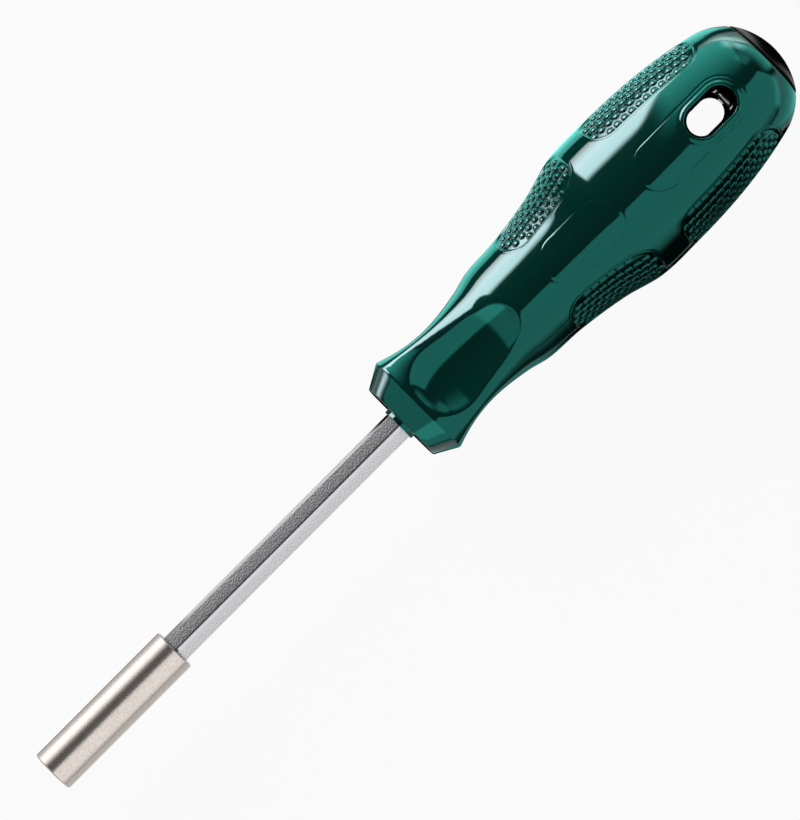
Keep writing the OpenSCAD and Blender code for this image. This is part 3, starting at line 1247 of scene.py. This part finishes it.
@dataclass
class EndCap(Piece):
    """Domed black cap with its peg."""

    name: str = "black_cap"
    node: str = "end_cap"
    slot: str = "cap_plastic"
    finish: Finish = CAP_PLASTIC
    radius: float = 10.35
    seat: float = 217.6
    rim: float = 219.6
    lip: float = 0.5
    dome_h: float = 3.5
    peg_r: float = 5.0
    peg_len: float = 5.5
    peg_edge: float = 0.4
    seat_edge: float = 0.2
    rim_edge: float = 0.3
    dome_steps: int = 16
    segments: int = 96

    def build(self) -> bpy.types.Object:
        """Build the cap.

        Returns:
            The cap's object.
        """
        edge = self.rim + self.lip
        dome_r = (self.radius**2 + self.dome_h**2) / (2 * self.dome_h)
        centre = edge + self.dome_h - dome_r
        widest = math.asin(self.radius / dome_r)
        turns = [widest * t / self.dome_steps for t in range(self.dome_steps - 1, -1, -1)]
        dome = [(centre + dome_r * math.cos(t), dome_r * math.sin(t)) for t in turns]
        peg_end = self.seat - self.peg_len
        profile = [Vector((peg_end, 0))]
        profile += rounded((peg_end, 0), (peg_end, self.peg_r), (self.seat, self.peg_r), self.peg_edge)
        profile += [Vector((self.seat, self.peg_r))]
        profile += rounded((self.seat, 0), (self.seat, self.radius), (edge, self.radius), self.seat_edge)
        profile += rounded((self.seat, self.radius), (edge, self.radius), dome[0], self.rim_edge)
        mesh = bmesh.new()
        turn(mesh, [*profile, *dome], self.segments)
        bmesh.ops.recalc_face_normals(mesh, faces=mesh.faces)
        return self.publish(mesh, crisp=True)


class Reach(Enum):
    """What a card shows on: a gloss that mirrors it, matt surfaces that it lights, or both."""

    GLOSS = "gloss"
    MATT = "matt"
    BOTH = "both"


# A card whose direction leans further along the tool than this stands at an end of it
END_ON = 0.7


@dataclass(frozen=True)
class GlowCard:
    """Softbox or white card beside the tool, soft at its edges.

    It stands off the aim by the distance, in the direction away. The fades are those of the front, rear,
    lower and upper edge, and the slants give how far the front and rear edge lean along the tool per metre of
    height. Where lit names pieces, the card shows on those alone.
    """

    name: str
    away: tuple[float, float, float]
    distance: float
    width: float
    height: float
    radiance: float = 0.0
    aim: tuple[float, float, float] = (0.13, 0.0, 0.0)
    colour: str = "#ffffff"
    reach: Reach = Reach.BOTH
    fades: tuple[float, float, float, float] = (0.1, 0.1, 0.1, 0.1)
    slants: tuple[float, float] = (0.0, 0.0)
    lit: tuple[str, ...] = ()

    def frame(self) -> Matrix:
        """Place the card, with its own X along the tool, or across it at an end, and its own Y upwards.

        Returns:
            The card's place and turn.
        """
        out = Vector(self.away).normalized()
        side = Vector((1, 0, 0)) if abs(out.x) < END_ON else Vector((0, 1, 0))
        right = (side - out * side.dot(out)).normalized()
        up = right.cross(out)
        up = -up if up.z < 0 else up
        turned = Matrix((right, up, right.cross(up))).transposed().to_4x4()
        return Matrix.Translation(Vector(self.aim) + out * self.distance) @ turned

    def material(self) -> bpy.types.Material:
        """Make the light of the card, which fades out towards its edges.

        Returns:
            The material.
        """
        material = bpy.data.materials.new(self.name)
        material.use_nodes = True
        tree = material.node_tree
        place = add_node(tree, "ShaderNodeTexCoord").outputs["Object"]
        half_w, half_h = self.width / 2, self.height / 2
        ends = (
            ((1, -self.slants[0], 0), half_w, self.fades[0]),
            ((-1, self.slants[1], 0), half_w, self.fades[1]),
            ((0, 1, 0), half_h, self.fades[2]),
            ((0, -1, 0), half_h, self.fades[3]),
        )
        level = None
        for inwards, reach, fade in ends:
            along = add_node(tree, "ShaderNodeVectorMath", links={"Vector": place}, operation="DOT_PRODUCT")
            along.inputs[1].default_value = inwards
            rise = add_node(
                tree,
                "ShaderNodeMapRange",
                {"From Min": -reach, "From Max": fade - reach},
                {"Value": along.outputs["Value"]},
                interpolation_type="SMOOTHSTEP",
            )
            if level is None:
                level = rise.outputs["Result"]
                continue
            both = add_node(tree, "ShaderNodeMath", operation="MULTIPLY")
            tree.links.new(level, both.inputs[0])
            tree.links.new(rise.outputs["Result"], both.inputs[1])
            level = both.outputs["Value"]
        tree.links.new(self.surface(tree, level), tree.nodes["Material Output"].inputs["Surface"])
        return material

    def surface(self, tree: bpy.types.NodeTree, level: bpy.types.NodeSocket) -> bpy.types.NodeSocket:
        """Make the card's surface, which adds its light to what lies behind.

        Args:
            tree: Node tree of the card's material.
            level: Level of the light, from 0 at the edges to 1.

        Returns:
            The surface's output socket.
        """
        power = add_node(tree, "ShaderNodeMapRange", {"To Max": self.radiance}, {"Value": level}, clamp=False)
        glow = add_node(
            tree, "ShaderNodeEmission", {"Color": linear(self.colour)}, {"Strength": power.outputs["Result"]}
        )
        both = add_node(tree, "ShaderNodeAddShader")
        tree.links.new(add_node(tree, "ShaderNodeBsdfTransparent").outputs["BSDF"], both.inputs[0])
        tree.links.new(glow.outputs["Emission"], both.inputs[1])
        return both.outputs["Shader"]

    def build(self) -> bpy.types.Object:
        """Build the card.

        Returns:
            The card's object.
        """
        mesh = bmesh.new()
        bmesh.ops.create_grid(mesh, x_segments=1, y_segments=1, size=0.5)
        spread = self.width + max(map(abs, self.slants)) * self.height
        bmesh.ops.scale(mesh, vec=(spread, self.height, 1), verts=mesh.verts)
        card = new_object(self.name, mesh, self.material())
        card.matrix_world = self.frame()
        card.visible_camera = False
        card.visible_diffuse = self.reach is not Reach.GLOSS
        card.visible_glossy = self.reach is not Reach.MATT
        card.visible_shadow = False
        if self.lit:
            receivers = bpy.data.collections.new(f"{self.name}_lit")
            for piece in self.lit:
                receivers.objects.link(bpy.data.objects[piece])
            card.light_linking.receiver_collection = receivers
        return card


@dataclass(frozen=True)
class BlackFlag(GlowCard):
    """Black card that hides what lies behind it from glossy surfaces.

    Its radiance is the share that still shows through.
    """

    reach: Reach = Reach.GLOSS

    def surface(self, tree: bpy.types.NodeTree, level: bpy.types.NodeSocket) -> bpy.types.NodeSocket:
        """Make the flag's surface, which takes away the light behind it.

        Args:
            tree: Node tree of the flag's material.
            level: Depth of the black, from 0 at the edges to 1.

        Returns:
            The surface's output socket.
        """
        span = {"To Min": 1.0, "To Max": self.radiance}
        left = add_node(tree, "ShaderNodeMapRange", span, {"Value": level})
        clear = add_node(tree, "ShaderNodeBsdfTransparent", links={"Color": left.outputs["Result"]})
        return clear.outputs["BSDF"]


def from_above(degrees: float, along: float = 0.0) -> tuple[float, float, float]:
    """Direction that leans from straight up towards +Y, and along the tool.

    Args:
        degrees: Lean from straight up, negative towards -Y.
        along: Part along the tool, as a share of the rest.

    Returns:
        The direction, not scaled to one.
    """
    lean = math.radians(degrees)
    return along, math.sin(lean), math.cos(lean)


def all_round(fade: float) -> tuple[float, float, float, float]:
    """Fades of a card that are the same at all four edges."""
    return fade, fade, fade, fade


GRIP = ("green_grip",)
CORE = ("black_core",)
STEEL = ("stainless_sleeve", "plated_shaft")
WARM = "#ffdfe8"
COOL = "#80fff2"
PALE = "#e4fffa"
DOWN = (0, 0, -1)
CARD_DEPTH = 0.0181
FLAG_DEPTH = 0.0182

# Cards of one kind share what is given here. Strips and floor flags lie on the floor
grip_card = partial(GlowCard, colour=COOL, reach=Reach.GLOSS, lit=GRIP)
grip_strip = partial(grip_card, away=DOWN, distance=CARD_DEPTH)
core_strip = partial(GlowCard, away=DOWN, distance=CARD_DEPTH, lit=CORE)
steel_card = partial(GlowCard, aim=(0.05, 0, 0), reach=Reach.GLOSS, lit=STEEL)
floor_flag = partial(BlackFlag, away=DOWN, distance=FLAG_DEPTH)


@dataclass
class Studio:
    """White floor, backdrop, black tent, cards and the camera.

    After its name, a card off the floor has its direction, distance, width, height, radiance and aim.
    """

    floor_z: float = -0.01825
    floor_x: tuple[float, float] = (-0.25, 0.47)
    floor_y: tuple[float, float] = (-0.16, 0.135)
    floor_colour: str = "#f4f4f4"
    floor_glow: float = 0.94
    backdrop: float = 0.957
    dark_room: float = 0.03
    tent_reach: float = 4.0
    tent_overlap: float = 1.01
    tent_fade: float = 0.01
    camera_at: tuple[float, float, float] = (0.074, 0.00207, 1.25)
    camera_aim: tuple[float, float, float] = (0.1095, 0.00207, 0.0)
    roll_deg: float = 45.09
    lens: float = 251.0
    cards: tuple[GlowCard, ...] = (
        grip_card(
            "grip_key", from_above(82), 0.9, 0.7075, 1.06, 16.5, (0.10375, 0, 0),
            colour=WARM, fades=(0.06, 0.05, 0.56, 0.22), slants=(0.3, -0.19),
        ),
        grip_card(
            "grip_front_key", (-0.7, 0.68, 0.08), 0.9, 0.6, 0.6, 12.0, (0.111, 0, 0),
            colour=WARM, fades=all_round(0.3),
        ),
        grip_card(
            "grip_fade", from_above(60), 0.95, 1.2, 2.2, 3.3, (0.98, 0, 0), fades=(0.1, 0.3, 0.1, 1.7),
        ),
        grip_card(
            "grip_low_card", from_above(-57), 0.7, 4.0, 1.425, 1.6, (0.15, 0, 0), fades=(0.2, 0.2, 0.5, 0.03),
        ),
        grip_card(
            "grip_front_card", (-0.78, 0, 0.6), 1.0, 1.5, 0.42, 1.15, (0.11, 0, 0),
            fades=(0.15, 0.15, 0.08, 0.08),
        ),
        grip_strip(
            "grip_rear_glow", width=0.165, height=0.105, radiance=5.0, aim=(0.3175, 0.0825, 0),
            colour=PALE, fades=(0.05, 0.08, 0.045, 0.03),
        ),
        grip_card(
            "grip_rear_lamp", (0.78, 0.61, -0.06), 0.6, 0.4, 0.36, 4.5, (0.217, 0, 0),
            colour=PALE, fades=(0.15, 0.15, 0.08, 0.16),
        ),
        grip_card(
            "grip_rear_card", (0.973, 0.207, 0.105), 0.6, 0.64, 0.36, 3.0, (0.217, 0, 0),
            fades=(0.1, 0.15, 0.05, 0.3),
        ),
        grip_card(
            "grip_tail_top", (0.82, 0.36, 0.43), 0.6, 0.3, 0.3, 1.2, (0.217, 0, 0), fades=all_round(0.1),
        ),
        grip_card(
            "grip_tail_card", (0.77, -0.63, -0.06), 0.6, 0.5, 0.3, 1.5, (0.217, 0, 0),
            fades=(0.1, 0.1, 0.05, 0.1),
        ),
        grip_strip(
            "grip_tail_strip", width=0.136, height=0.15, radiance=1.15, aim=(0.287, -0.087, 0),
            fades=(0.01, 0.02, 0.02, 0.004),
        ),
        grip_strip(
            "grip_near_strip", width=0.13, height=0.042, radiance=2.1, aim=(0.17, 0.034, 0),
            fades=(0.01, 0.01, 0.011, 0.008),
        ),
        grip_strip(
            "grip_far_strip", width=0.09, height=0.14, radiance=0.7, aim=(0.125, -0.1, 0),
            fades=(0.02, 0.03, 0.001, 0.14),
        ),
        grip_strip(
            "grip_neck_strip", width=0.052, height=0.034, radiance=0.45, aim=(0.124, -0.031, 0),
            fades=(0.008, 0.016, 0.012, 0.006),
        ),
        BlackFlag(
            "belly_flag", from_above(54.4), 0.0347, 0.018, 0.031, 0, (0.163, 0.002, -0.0028),
            fades=(0.004, 0.0015, 0.004, 0.002),
        ),
        BlackFlag(
            "front_pad_flag", from_above(-66), 0.0245, 0.025, 0.012, 0, (0.161, 0, 0),
            fades=(0.003, 0.003, 0.002, 0.004),
        ),
        BlackFlag(
            "rear_pad_flag", from_above(-64), 0.0245, 0.032, 0.011, 0, (0.1955, 0, 0),
            fades=(0.003, 0.003, 0.002, 0.003),
        ),
        floor_flag(
            "far_flag", width=0.14, height=0.145, aim=(0.16, -0.0975, 0), fades=(0.02, 0.01, 0.02, 0.003),
        ),
        floor_flag(
            "tail_flag", width=0.136, height=0.15, aim=(0.287, -0.087, 0), fades=(0.006, 0.02, 0.02, 0.004),
        ),
        floor_flag(
            "side_flag", width=0.16, height=0.125, aim=(0.17, 0.0755, 0), fades=(0.01, 0.01, 0.004, 0.01),
        ),
        floor_flag("under_flag", width=0.13, height=0.068, aim=(0.165, 0, 0), fades=all_round(0.005)),
        floor_flag("cap_flag", width=0.09, height=0.028, aim=(0.265, 0, 0), fades=all_round(0.004)),
        floor_flag(
            "sleeve_flag", width=0.05, height=0.022, radiance=0.45, aim=(0.02, 0.011, 0),
            fades=all_round(0.004),
        ),
        core_strip(
            "lining_arc_1", width=0.0004, height=0.0009, radiance=0.9, aim=(0.20775, 0, 0),
            fades=all_round(0.00005),
        ),
        core_strip(
            "lining_arc_2", width=0.0002, height=0.0005, radiance=0.9, aim=(0.2068, 0, 0),
            fades=all_round(0.00003),
        ),
        steel_card("steel_key", from_above(80), 0.9, 1.6, 1.8, 2.8, fades=(0.2, 0.2, 0.35, 0.9)),
        steel_card("steel_low_card", from_above(-52), 0.7, 2.0, 1.66, 1.58, fades=(0.2, 0.2, 0.6, 0.03)),
        steel_card("steel_top_card", from_above(18), 1.0, 1.6, 1.1, 0.1, fades=(0.2, 0.2, 0.3, 0.3)),
        steel_card(
            "steel_strip", DOWN, CARD_DEPTH, 0.2, 0.1, 0.6, aim=(0.05, 0.09, 0),
            fades=(0.02, 0.02, 0.02, 0.001),
        ),
        steel_card("steel_front_end", (-1, 0, 0), 1.5, 2.6, 2.6, 0.7, fades=all_round(0.4)),
        steel_card("steel_rear_end", (1, 0, 0), 1.5, 2.6, 2.6, 0.7, fades=all_round(0.4)),
        GlowCard("side_wash", from_above(60), 1.6, 1.1, 1.1, 4.5, (0.11, 0, 0), reach=Reach.MATT),
    )

    def seen_level(self, tree: bpy.types.NodeTree, unseen: float, seen: float) -> bpy.types.NodeSocket:
        """Make a level that differs for what the eye, metal and glass see.

        Args:
            tree: Node tree that gets the nodes.
            unseen: Level for the rays that light.
            seen: Level for the rays of the camera, of gloss and of glass.

        Returns:
            Socket that holds the level.
        """
        path = add_node(tree, "ShaderNodeLightPath").outputs
        near = add_node(tree, "ShaderNodeMath", operation="ADD")
        tree.links.new(path["Is Camera Ray"], near.inputs[0])
        tree.links.new(path["Is Glossy Ray"], near.inputs[1])
        through = add_node(tree, "ShaderNodeMath", operation="ADD", use_clamp=True)
        tree.links.new(near.outputs["Value"], through.inputs[0])
        tree.links.new(path["Is Transmission Ray"], through.inputs[1])
        span = {"To Min": unseen, "To Max": seen}
        level = add_node(tree, "ShaderNodeMapRange", span, {"Value": through.outputs["Value"]})
        return level.outputs["Result"]

    def add_floor(self) -> None:
        """Lay the white floor, which glows for the eye, for metal and for glass, so its shadows are faint."""
        (front, rear), (right, left) = self.floor_x, self.floor_y
        mesh = bmesh.new()
        bmesh.ops.create_grid(mesh, x_segments=1, y_segments=1, size=0.5)
        bmesh.ops.scale(mesh, vec=(rear - front, left - right, 1), verts=mesh.verts)
        middle = ((front + rear) / 2, (right + left) / 2, self.floor_z)
        bmesh.ops.translate(mesh, vec=middle, verts=mesh.verts)
        material, tree, shader = Finish("white_paper", self.floor_colour, 0.9).start()
        glow = add_node(tree, "ShaderNodeEmission", {"Strength": 1.0})
        level = self.seen_level(tree, 0.0, self.floor_glow)
        both = add_node(tree, "ShaderNodeMixShader", links={"Fac": level})
        tree.links.new(shader.outputs["BSDF"], both.inputs[1])
        tree.links.new(glow.outputs["Emission"], both.inputs[2])
        tree.links.new(both.outputs["Shader"], tree.nodes["Material Output"].inputs["Surface"])
        new_object("floor", mesh, material)

    def add_room(self) -> None:
        """Make the room: a white backdrop that hardly lights, and a black tent that only gloss mirrors."""
        world = bpy.data.worlds.new("white_backdrop")
        world.use_nodes = True
        bpy.context.scene.world = world
        tree = world.node_tree
        shade = tree.nodes["Background"].inputs
        shade["Color"].default_value = linear("#ffffff")
        tree.links.new(self.seen_level(tree, self.dark_room, self.backdrop), shade["Strength"])
        wall = 2 * self.tent_overlap * self.tent_reach
        fades = all_round(self.tent_fade)
        for number, side in enumerate(((1, 0, 0), (-1, 0, 0), (0, 1, 0), (0, -1, 0), (0, 0, 1), DOWN)):
            tent = BlackFlag(f"tent_{number}", side, self.tent_reach, wall, wall, self.dark_room, fades=fades)
            tent.build()

    def add_camera(self) -> None:
        """Set up the camera over the tool, which runs from the lower left to the upper right."""
        data = bpy.data.cameras.new("camera")
        data.lens = self.lens
        camera = bpy.data.objects.new("camera", data)
        place, aim = Vector(self.camera_at), Vector(self.camera_aim)
        back = (place - aim).normalized()
        along = (Vector((1, 0, 0)) - back * back.x).normalized()
        across = back.cross(along)
        roll = math.radians(self.roll_deg)
        right = along * math.cos(roll) - across * math.sin(roll)
        up = along * math.sin(roll) + across * math.cos(roll)
        turned = Matrix((right, up, back)).transposed().to_4x4()
        camera.matrix_world = Matrix.Translation(place) @ turned
        bpy.context.scene.collection.objects.link(camera)
        bpy.context.scene.camera = camera

    def build(self) -> None:
        """Build the floor, the room, the camera and the cards."""
        bpy.context.scene.view_settings.view_transform = "Standard"
        self.add_floor()
        self.add_room()
        self.add_camera()
        for card in self.cards:
            card.build()


def dress_nodes(nodes: dict[str, bpy.types.Object]) -> None:
    """Give the nodes that keep their own shape a finish.

    Args:
        nodes: Objects of the solid model, by node.
    """
    for name, finish in (("retaining_ring", RING_STEEL), ("socket_magnet", MAGNET_PLATING)):
        data = nodes[name].data
        data.materials.clear()
        data.materials.append(finish.make())
        log.info("%s keeps its shape", name)


def main() -> None:
    """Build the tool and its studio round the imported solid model."""
    logging.basicConfig(level=logging.INFO, format="%(name)s %(message)s")
    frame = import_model()
    for piece in (BitSleeve(), HexShaft(), HandleCore(), HandleGrip(), EndCap()):
        piece.build()
    dress_nodes(frame["nodes"])
    Studio().build()


if __name__ == "__main__":
    main()
